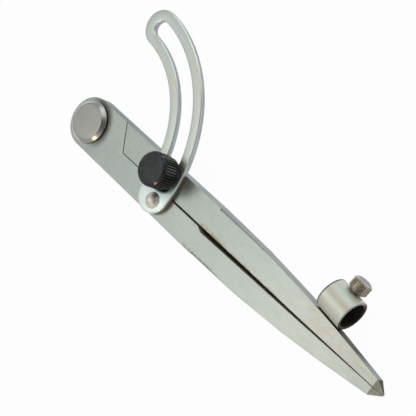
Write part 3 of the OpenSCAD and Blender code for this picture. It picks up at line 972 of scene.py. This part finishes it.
@dataclass
class Pivot:
    """The rivet through the lap, with its broad bevelled head, and the washer behind it."""

    head_r: float = 7.45
    flat_r: float = 6.15
    head_low: float = 7.7
    rim_top: float = 8.3
    head_top: float = 9.5
    ease: float = 0.25
    head_ease: float = 0.45
    shank_r: float = 3.0
    closing_r: float = 6.0
    closing_bevel: float = 0.8
    closing_top: float = 1.7
    washer_r: float = 7.4
    washer_top: float = 2.9
    washer_ease: float = 0.18
    washer_play: float = 0.08
    flat_above: float = 0.93
    rim_below: float = 0.2

    def zone(self, centre: Vector, normal: Vector) -> MetalFinish:
        """Tell the flat faces, the bevel and the rim painted dark as shade apart.

        Args:
            centre: the face's centre in millimetres.
            normal: the face's normal.

        Returns:
            The finish.
        """
        if abs(normal.z) > self.flat_above:
            return TURNED_FACE
        rim = abs(normal.z) < self.rim_below and centre.z > self.head_low
        return RIM_SHADE if rim else TURNED_BEVEL

    def build(self) -> None:
        """Make the rivet and its washer."""
        corners = [(0.0, 0.0), (self.closing_r - self.closing_bevel, 0.0),
                   (self.closing_r, self.closing_bevel), (self.closing_r, self.closing_top),
                   (self.shank_r, self.closing_top), (self.shank_r, self.head_low),
                   (self.head_r, self.head_low), (self.head_r, self.rim_top),
                   (self.flat_r, self.head_top), (0.0, self.head_top)]
        broad = {corners.index((self.head_r, self.rim_top)): self.head_ease,
                 corners.index((self.flat_r, self.head_top)): self.head_ease}
        profile = round_corners(corners, self.ease, steps=8, broad=broad)
        rivet = finish_mesh(lathe(profile, segments=144), "rivet", smooth_deg=40.0)
        paint(rivet, (TURNED_FACE, TURNED_BEVEL, RIM_SHADE), self.zone)
        show("pivot_rivet_turned", rivet, "plain_leg", "pivot_rivet")
        inner = self.shank_r + self.washer_play
        low, high, ease = self.closing_top, self.washer_top, self.washer_ease
        ring = [(inner, low), (self.washer_r - ease, low), (self.washer_r, low + ease),
                (self.washer_r, high - ease), (self.washer_r - ease, high), (inner, high)]
        washer = finish_mesh(lathe(ring, segments=112), "washer", smooth_deg=30.0)
        paint(washer, (TURNED_FACE, TURNED_BEVEL),
              lambda centre, normal: TURNED_FACE if abs(normal.z) > STEEP else TURNED_BEVEL)
        show("pivot_washer_turned", washer, "plain_leg", "pivot_washer")


@dataclass
class Wing:
    """The slotted arc that stands on the plain leg, and the domed rivet in its foot."""

    radius: float = 40.4
    width: float = 12.6
    slot: float = 5.3
    low: float = 7.7
    high: float = 9.8
    edge: float = 0.55
    edge_steps: int = 5
    arc_steps: int = 96
    cap_steps: int = 24
    span_deg: Pair = (-93.381, -6.184)
    slot_deg: Pair = (-82.531, -7.106)
    flat_above: float = 0.93
    corner_above: float = 0.35
    rivet_at: Pair = (-4.1, -41.397)
    rivet_r: float = 1.6
    rivet_end: float = 2.9
    rivet_ease: float = 0.12
    rivet_play: float = 0.02
    dome_r: float = 2.75
    dome_h: float = 1.9
    dome_rim: float = 0.1
    dome_steps: int = 16

    def outline(self, half: float, span: Pair) -> list[Pair]:
        """Give the outline of an arc shaped bar with round ends.

        Args:
            half: half the bar's width.
            span: the angles of its end centres in degrees.

        Returns:
            The outline's points, going round once.
        """
        start, end = (math.radians(angle) for angle in span)
        points: list[Pair] = []
        for out, first, last, facing in ((half, start, end, 0.0), (-half, end, start, math.pi)):
            for step in range(self.arc_steps + 1):
                turn = first + (last - first) * step / self.arc_steps
                points.append(((self.radius + out) * math.cos(turn), (self.radius + out) * math.sin(turn)))
            x, y = self.radius * math.cos(last), self.radius * math.sin(last)
            for step in range(1, self.cap_steps):
                turn = last + facing + math.pi * step / self.cap_steps
                points.append((x + half * math.cos(turn), y + half * math.sin(turn)))
        return points

    def plate(self) -> Mesh:
        """Make the slotted plate, with its punched edges broken all round.

        Returns:
            The plate's mesh.
        """
        bm = bmesh.new()
        levels: list[Pair] = []
        for step in range(self.edge_steps + 1):
            turn = 0.5 * math.pi * step / self.edge_steps
            levels.append((self.edge * (1 - math.sin(turn)), self.low + self.edge * (1 - math.cos(turn))))
        levels += [(inset, self.low + self.high - height) for inset, height in reversed(levels)]
        rims: list[list[bmesh.types.BMEdge]] = [[], []]
        outer, inner = (self.width / 2, self.span_deg, -1.0), (self.slot / 2, self.slot_deg, 1.0)
        for half, span, sign in (outer, inner):
            rings = [[bm.verts.new((x, y, height)) for x, y in self.outline(half + sign * inset, span)]
                     for inset, height in levels]
            skin(bm, rings)
            for rim, ring in zip(rims, (rings[0], rings[-1])):
                rim += [bm.edges.get(ends) for ends in zip(ring, ring[1:] + ring[:1])]
        for rim in rims:
            bmesh.ops.triangle_fill(bm, use_beauty=True, edges=rim)
        return finish_mesh(bm, "plate", smooth_deg=20.0)

    def build(self) -> None:
        """Make the wing and its rivet."""
        mesh = self.plate()
        # The upper corners take a painted highlight.
        paint(mesh, (ZINC_FACE, ZINC_EDGE, ZINC_CORNER_HIGHLIGHT), lambda centre, normal: (
            ZINC_FACE if abs(normal.z) > self.flat_above
            else ZINC_CORNER_HIGHLIGHT if normal.z > self.corner_above else ZINC_EDGE))
        show("wing_slotted_arc", mesh, "plain_leg", "wing")
        sphere = (self.dome_r ** 2 + self.dome_h ** 2) / (2 * self.dome_h)
        middle = self.high + self.dome_h - sphere
        reach = math.asin(min(1.0, self.dome_r / sphere))
        shank, ease, foot = self.rivet_r - self.rivet_play, self.rivet_ease, self.rivet_end
        profile = [(0.0, foot), (self.rivet_r - ease, foot), (shank, foot + ease), (shank, self.high),
                   (self.dome_r - ease, self.high), (self.dome_r, self.high + self.dome_rim)]
        for step in range(1, self.dome_steps):
            turn = reach * (1 - step / self.dome_steps)
            height = max(middle + sphere * math.cos(turn), self.high + ease)
            profile.append((sphere * math.sin(turn), height))
        profile.append((0.0, self.high + self.dome_h))
        place = Matrix.Translation((*self.rivet_at, 0.0))
        dome = finish_mesh(lathe(profile, segments=72), "dome", smooth_deg=40.0, place=place)
        paint(dome, (DOMED_HEAD,))
        show("wing_rivet_domed", dome, "plain_leg", "wing_rivet")


@dataclass
class ThumbScrew:
    """The black knurled thumb screw that locks the wing, with its washer and thread."""

    at: Pair = (5.4, -40.0375)
    washer_r: float = 5.4
    washer_low: float = 9.8
    washer_top: float = 11.2
    washer_ease: float = 0.25
    washer_bulge: float = 0.07
    washer_play: float = 0.08
    knob_top: float = 18.2
    cone_r: float = 4.55
    side_r: float = 5.35
    collar_r: float = 5.57
    root_r: float = 5.25
    tip_r: float = 5.75
    wear_and_highlight_r: float = 5.69
    wear_and_highlight_below: float = 0.8
    cone_h: float = 0.8
    bevel_h: float = 0.5
    band_h: float = 0.4
    band_slope: Pair = (0.1, 0.06)
    knob_ease: float = 0.2
    teeth: int = 40
    tooth_past: Pair = (0.1, 0.25)
    tooth_ease: float = 0.3
    screw_r: float = 2.5
    core_r: float = 2.03
    screw_low: float = 3.2
    screw_top: float = 16.6
    screw_bevel: float = 0.35
    neck: float = 0.3
    thread_from: float = 0.55
    pitch: float = 0.8
    ridge: float = 0.36
    ridge_out: float = 0.06

    def build(self, tools: NodeTools) -> None:
        """Make the knob, the screw and the washer.

        Args:
            tools: the node trees.
        """
        place = Matrix.Translation((*self.at, 0.0))
        knob, screw = self._knob(tools), self._screw(tools)
        for mesh in (knob, screw):
            mesh.transform(Matrix.Translation(place.translation * MM))
        show("thumb_knob_knurled", knob, "clamp_screw", "clamp_knob")
        show("thumb_screw_threaded", screw, "clamp_screw", "clamp_screw")
        inner, low, high = self.screw_r + self.washer_play, self.washer_low, self.washer_top
        ease, bulge = self.washer_ease, self.washer_bulge
        ring = [(inner, low), (self.washer_r - ease, low), (self.washer_r - bulge, low + bulge),
                (self.washer_r, low + ease), (self.washer_r, high - ease),
                (self.washer_r - bulge, high - bulge), (self.washer_r - ease, high), (inner, high)]
        washer = finish_mesh(lathe(ring, segments=96), "washer", smooth_deg=35.0, place=place)
        paint(washer, (MATT_BLACK,))
        show("thumb_washer_black", washer, "clamp_washer", "clamp_washer")

    def _knob(self, tools: NodeTools) -> Mesh:
        """Make the knurled knob on the upright axis.

        Args:
            tools: the node trees.

        Returns:
            The knob's mesh.
        """
        low, top = self.washer_top, self.knob_top
        cone, shoulder = low + self.cone_h, top - self.bevel_h
        band = shoulder - self.band_h
        corners = [(0.0, low), (self.cone_r, low), (self.side_r, cone), (self.root_r, cone),
                   (self.root_r, band), (self.collar_r, band + self.band_slope[0]),
                   (self.collar_r, shoulder - self.band_slope[1]),
                   (self.side_r - self.bevel_h, top), (0.0, top)]
        profile = round_corners(corners, self.knob_ease)
        drum = finish_mesh(lathe(profile, segments=120), "drum", smooth_deg=38.0)
        span = (cone - self.tooth_past[0], band + self.tooth_past[1])
        mesh = tools.knurled(drum, self.teeth, (self.root_r, self.tip_r), span, self.tooth_ease, MATT_BLACK)
        # Ridge tips take the worn finish with a painted highlight.
        paint(mesh, (MATT_BLACK, WORN_AND_LIT_BLACK), lambda centre, normal: (
            WORN_AND_LIT_BLACK if math.hypot(centre.x, centre.y) > self.wear_and_highlight_r and abs(normal.z) < self.wear_and_highlight_below
            else MATT_BLACK))
        return mesh

    def _screw(self, tools: NodeTools) -> Mesh:
        """Make the threaded shank on the upright axis.

        Args:
            tools: the node trees.

        Returns:
            The shank's mesh.
        """
        low, core, bevel = self.screw_low, self.core_r, self.screw_bevel
        plain = self.washer_top - self.neck
        corners = [(0.0, low), (core - bevel, low), (core, low + bevel), (core, plain),
                   (self.screw_r, self.washer_top), (self.screw_r, self.screw_top), (0.0, self.screw_top)]
        rod = finish_mesh(lathe(corners, segments=56), "rod", smooth_deg=35.0)
        span = (low + self.thread_from, plain - self.neck)
        return tools.threaded(rod, self.pitch, core + self.ridge_out, span, self.ridge)


@dataclass
class PencilHolder:
    """The tube on the pencil leg's edge, its braze seam and its knurled screw."""

    tube_x: float = 5.5
    tube_r: float = 5.3
    bore_r: float = 4.25
    mouth_y: float = 0.15
    edge: float = 0.22
    crease_deg: float = 28.0
    corner_facing: Pair = (0.2, 0.97)
    end_facing: float = 0.6
    seam_y: Pair = (0.65, 9.75)
    seam_h: float = 1.3
    seam_sections: int = 40
    seam_chords: int = 6
    seam_thin: float = 0.55
    seam_rise: float = 6.0
    seam_lumps: tuple[Triple, ...] = ((0.07, 23.0, 0.6), (0.05, 41.0, 2.1))
    seam_waist: float = 0.72
    seam_lip: float = 0.95
    seam_sunk: float = 0.05
    seam_hollow: float = 0.1
    seam_lap: float = 0.06
    screw_y: float = 4.65
    shank_x: Pair = (9.7, 14.05)
    core_r: float = 1.2
    shank_bevel: float = 0.25
    thread_ends: float = 0.4
    pitch: float = 0.5
    ridge: float = 0.22
    ridge_out: float = 0.04
    head_x: Pair = (11.15, 15.25)
    head_root: float = 2.8
    head_tip: float = 3.1
    head_flat: float = 2.25
    head_rim: float = 2.9
    head_bevel: float = 0.45
    head_step: float = 0.05
    head_ease: float = 0.12
    teeth: int = 24
    tooth_ease: float = 0.22
    faced_above: float = 0.97
    bevel_above: float = 0.3

    def build(self, seat: SeatFrame, tools: NodeTools) -> None:
        """Make the tube, the seam and the screw.

        Args:
            seat: the frame of the tube's seat.
            tools: the node trees.
        """
        bm = softened("pencil_tube", self.edge, self.crease_deg)
        tube = finish_mesh(bm, "tube", smooth_deg=25.0, outward=False)
        paint(tube, (ZINC_TUBE, TUBE_END, TUBE_BORE_SHADE, DARK_CORNER), partial(self.tube_zone, seat))
        show("pencil_tube_drawn", tube, "pencil_leg", "pencil_tube")
        self._seam(seat)
        shank = self._shank(tools)
        self._place(shank, seat.outward(self.shank_x[0], self.screw_y))
        show("pencil_screw_threaded", shank, "pencil_screw", "pencil_screw")
        head = self._head(tools)
        self._place(head, seat.outward(self.head_x[0], self.screw_y))
        show("pencil_screw_head_knurled", head, "pencil_screw_head", "pencil_screw_head")

    def tube_zone(self, seat: SeatFrame, centre: Vector, normal: Vector) -> MetalFinish:
        """Tell the tube's wall, its dark corner, its ends and its bore painted dark as shade apart.

        Args:
            seat: the frame of the tube's seat.
            centre: the face's centre in millimetres.
            normal: the face's normal.

        Returns:
            The finish.
        """
        back = seat.along(self.tube_x, self.mouth_y).inverted()
        here = back @ centre
        facing = (back.to_3x3() @ normal).z
        outside = math.hypot(here.x, here.y) > 0.5 * (self.tube_r + self.bore_r)
        if outside and self.corner_facing[0] < facing < self.corner_facing[1]:
            return DARK_CORNER
        if abs(facing) > self.end_facing:
            return TUBE_END
        return ZINC_TUBE if outside else TUBE_BORE_SHADE

    def _seam(self, seat: SeatFrame) -> None:
        """Make the braze seam: hollow fillets on both sides, a little uneven along their length.

        Args:
            seat: the frame of the tube's seat.
        """
        bm = bmesh.new()
        start, end = self.seam_y
        rings: list[Ring] = []
        for step in range(self.seam_sections + 1):
            share = step / self.seam_sections
            swell = math.sin(math.pi * min(1.0, self.seam_rise * min(share, 1 - share)) / 2)
            lump = 1 + sum(high * math.sin(waves * share + phase) for high, waves, phase in self.seam_lumps)
            foot = self.seam_h * (self.seam_thin + (1 - self.seam_thin) * swell) * lump
            lip = self.seam_lip * foot
            tube_side = self.tube_x - math.sqrt(self.tube_r ** 2 - lip ** 2) + self.seam_lap
            upper: list[Pair] = []
            for part in range(self.seam_chords + 1):
                t = part / self.seam_chords
                first, second, third = (1 - t) ** 2, 2 * t * (1 - t), t ** 2
                upper.append((third * tube_side + second * self.seam_hollow - first * self.seam_sunk,
                              first * foot + second * self.seam_waist * foot + third * lip))
            y = start + (end - start) * share
            loop = upper + [(x, -z) for x, z in reversed(upper)]
            rings.append([bm.verts.new((x, y, z)) for x, z in loop])
        skin(bm, rings)
        bm.faces.new(rings[0])
        bm.faces.new(rings[-1])
        mesh = finish_mesh(bm, "seam", smooth_deg=40.0, place=seat.matrix())
        paint(mesh, (DARK_BRAZE,))
        show("tube_braze_seam", mesh, "pencil_leg", "tube_braze")

    def _shank(self, tools: NodeTools) -> Mesh:
        """Make the screw's threaded shank on the upright axis.

        Args:
            tools: the node trees.

        Returns:
            The shank's mesh.
        """
        long, core, bevel = self.shank_x[1] - self.shank_x[0], self.core_r, self.shank_bevel
        corners = [(0.0, 0.0), (core - bevel, 0.0), (core, bevel), (core, long), (0.0, long)]
        rod = finish_mesh(lathe(corners, segments=40), "rod", smooth_deg=35.0)
        span = (self.thread_ends, long - self.thread_ends)
        return tools.threaded(rod, self.pitch, core + self.ridge_out, span, self.ridge)

    def _head(self, tools: NodeTools) -> Mesh:
        """Make the screw's knurled head on the upright axis.

        Args:
            tools: the node trees.

        Returns:
            The head's mesh.
        """
        long, bevel = self.head_x[1] - self.head_x[0], self.head_bevel
        lower = [(0.0, 0.0), (self.head_flat, 0.0), (self.head_rim, bevel),
                 (self.head_root, bevel + self.head_step)]
        corners = lower + [(radius, long - height) for radius, height in reversed(lower)]
        profile = round_corners(corners, self.head_ease)
        drum = finish_mesh(lathe(profile, segments=96), "drum", smooth_deg=38.0)
        mesh = tools.knurled(drum, self.teeth, (self.head_root, self.head_tip), (bevel, long - bevel),
                             self.tooth_ease, DULL_SCREW)
        paint(mesh, (DULL_SCREW, BRIGHT_BEVEL, FACED_END), lambda centre, normal: (
            FACED_END if normal.z >= self.faced_above
            else BRIGHT_BEVEL if self.bevel_above < abs(normal.z) < self.faced_above else DULL_SCREW))
        return mesh

    @staticmethod
    def _place(mesh: Mesh, place: Matrix) -> None:
        """Move a mesh in metres to a place given in millimetres."""
        mesh.transform(Matrix.Translation(place.translation * MM) @ place.to_3x3().to_4x4())


@dataclass(frozen=True)
class Lamp:
    """A soft area light, placed by the direction from which it shines."""

    name: str
    towards: Triple
    away: float
    size: Pair
    radiance: float
    colour: str


@dataclass
class Studio:
    """The pale floor, the soft light and the camera."""

    aim: Triple = (0.01, -0.065, 0.006)
    floor_half: float = 3.0
    floor_drop: float = 0.0002
    floor_white: float = 0.965
    fibre_per_m: float = 900.0
    paper_tone: Pair = (0.9, 0.94)
    room_colour: str = "EEF1F3"
    room_light: Pair = (0.58, 0.16)
    dark_end: Triple = (0.34, -0.54, 0.77)
    dark_span: Pair = (0.72, 0.97)
    eye_mm: Triple = (83.265, -266.379, 317.279)
    turn_deg: Triple = (12.5153, 33.5447, -47.6344)
    lens: float = 106.14
    sensor: float = 36.0
    nearest: float = 0.01
    lamps: tuple[Lamp, ...] = (
        Lamp("key softbox", (-0.26, 0.34, 0.90), 0.8, (0.56, 0.50), 1.05, "FDFFFE"),
        Lamp("warm reflector", (-0.73, -0.40, 0.55), 0.5, (0.11, 0.08), 9.0, "FFE2BC"),
        Lamp("cool side fill", (0.76, 0.20, 0.60), 0.6, (0.46, 0.40), 0.95, "E2EEFA"),
    )

    def build(self) -> None:
        """Set the whole stage."""
        self._floor()
        self._world()
        for lamp in self.lamps:
            self._lamp(lamp)
        self._camera()
        bpy.context.scene.view_settings.view_transform = "Standard"

    def _floor(self) -> None:
        """Lay a white paper floor that keeps a faint shadow."""
        sides = ((-1, -1), (1, -1), (1, 1), (-1, 1))
        mesh = bpy.data.meshes.new("paper_floor")
        mesh.from_pydata([(x * self.floor_half, y * self.floor_half, -self.floor_drop) for x, y in sides],
                         [], [(0, 1, 2, 3)])
        material = bpy.data.materials.new("white paper")
        tree = emptied(material)
        coords = add(tree, "ShaderNodeTexCoord")
        fibre = add(tree, "ShaderNodeTexNoise", {
            "Vector": coords.outputs["Object"], "Scale": self.fibre_per_m, "Detail": 3.0})
        tint = add(tree, "ShaderNodeMapRange", {
            "Value": fibre.outputs[0], "To Min": self.paper_tone[0], "To Max": self.paper_tone[1]})
        paper = add(tree, "ShaderNodeBsdfDiffuse", {"Color": tint.outputs[0]})
        glow = add(tree, "ShaderNodeEmission", {"Color": linear("FFFFFF"), "Strength": 1.0})
        path = add(tree, "ShaderNodeLightPath")
        seen = path.outputs["Is Camera Ray"]
        for ray in ("Is Glossy Ray", "Is Transmission Ray"):
            more = add(tree, "ShaderNodeMath", {0: seen, 1: path.outputs[ray]}, operation="MAXIMUM")
            seen = more.outputs[0]
        share = add(tree, "ShaderNodeMath", {0: seen, 1: self.floor_white}, operation="MULTIPLY")
        both = add(tree, "ShaderNodeMixShader", {
            0: share.outputs[0], 1: paper.outputs[0], 2: glow.outputs[0]})
        add(tree, "ShaderNodeOutputMaterial", {"Surface": both.outputs[0]})
        mesh.materials.append(material)
        floor = placed("paper_floor", mesh)

    def _world(self) -> None:
        """Fill the room with soft grey light that dims to its dark end, and show white behind the floor."""
        world = bpy.data.worlds.new("studio room")
        bpy.context.scene.world = world
        tree = emptied(world)
        path = add(tree, "ShaderNodeLightPath")
        coords = add(tree, "ShaderNodeTexCoord")
        facing = add(tree, "ShaderNodeVectorMath", {
            0: coords.outputs["Generated"], 1: self.dark_end}, operation="DOT_PRODUCT")
        dim = add(tree, "ShaderNodeMapRange", {
            "Value": facing.outputs["Value"], "From Min": self.dark_span[0], "From Max": self.dark_span[1],
            "To Min": self.room_light[0], "To Max": self.room_light[1]}, interpolation_type="SMOOTHSTEP")
        room = add(tree, "ShaderNodeBackground", {
            "Color": linear(self.room_colour), "Strength": dim.outputs[0]})
        white = add(tree, "ShaderNodeBackground", {"Color": linear("FFFFFF"), "Strength": 1.0})
        both = add(tree, "ShaderNodeMixShader", {
            0: path.outputs["Is Camera Ray"], 1: room.outputs[0], 2: white.outputs[0]})
        add(tree, "ShaderNodeOutputWorld", {"Surface": both.outputs[0]})

    def _lamp(self, lamp: Lamp) -> None:
        """Hang one area light.

        Args:
            lamp: its place, size and strength.
        """
        data = bpy.data.lights.new(lamp.name, "AREA")
        data.shape = "RECTANGLE"
        data.size, data.size_y = lamp.size
        data.energy = lamp.radiance * math.pi * lamp.size[0] * lamp.size[1]
        data.color = linear(lamp.colour)[:3]
        light = placed(lamp.name, data)
        way = Vector(lamp.towards).normalized()
        light.location = Vector(self.aim) + way * lamp.away
        light.rotation_euler = way.to_track_quat("Z", "Y").to_euler()

    def _camera(self) -> None:
        """Put the camera at the photograph's view."""
        data = bpy.data.cameras.new("camera")
        data.lens = self.lens
        data.sensor_width = self.sensor
        data.clip_start = self.nearest
        camera = placed("camera", data)
        camera.location = Vector(self.eye_mm) * MM
        camera.rotation_euler = Euler([math.radians(angle) for angle in self.turn_deg])
        bpy.context.scene.camera = camera


def main() -> None:
    """Build the compass piece by piece, then the studio round it."""
    logging.basicConfig(level=logging.INFO, format="%(name)s: %(message)s")
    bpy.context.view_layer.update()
    tools = NodeTools()
    seat = SeatFrame()
    Legs().build()
    Pivot().build()
    Wing().build()
    ThumbScrew().build(tools)
    PencilHolder().build(seat, tools)
    Studio().build()


if __name__ == "__main__":
    main()
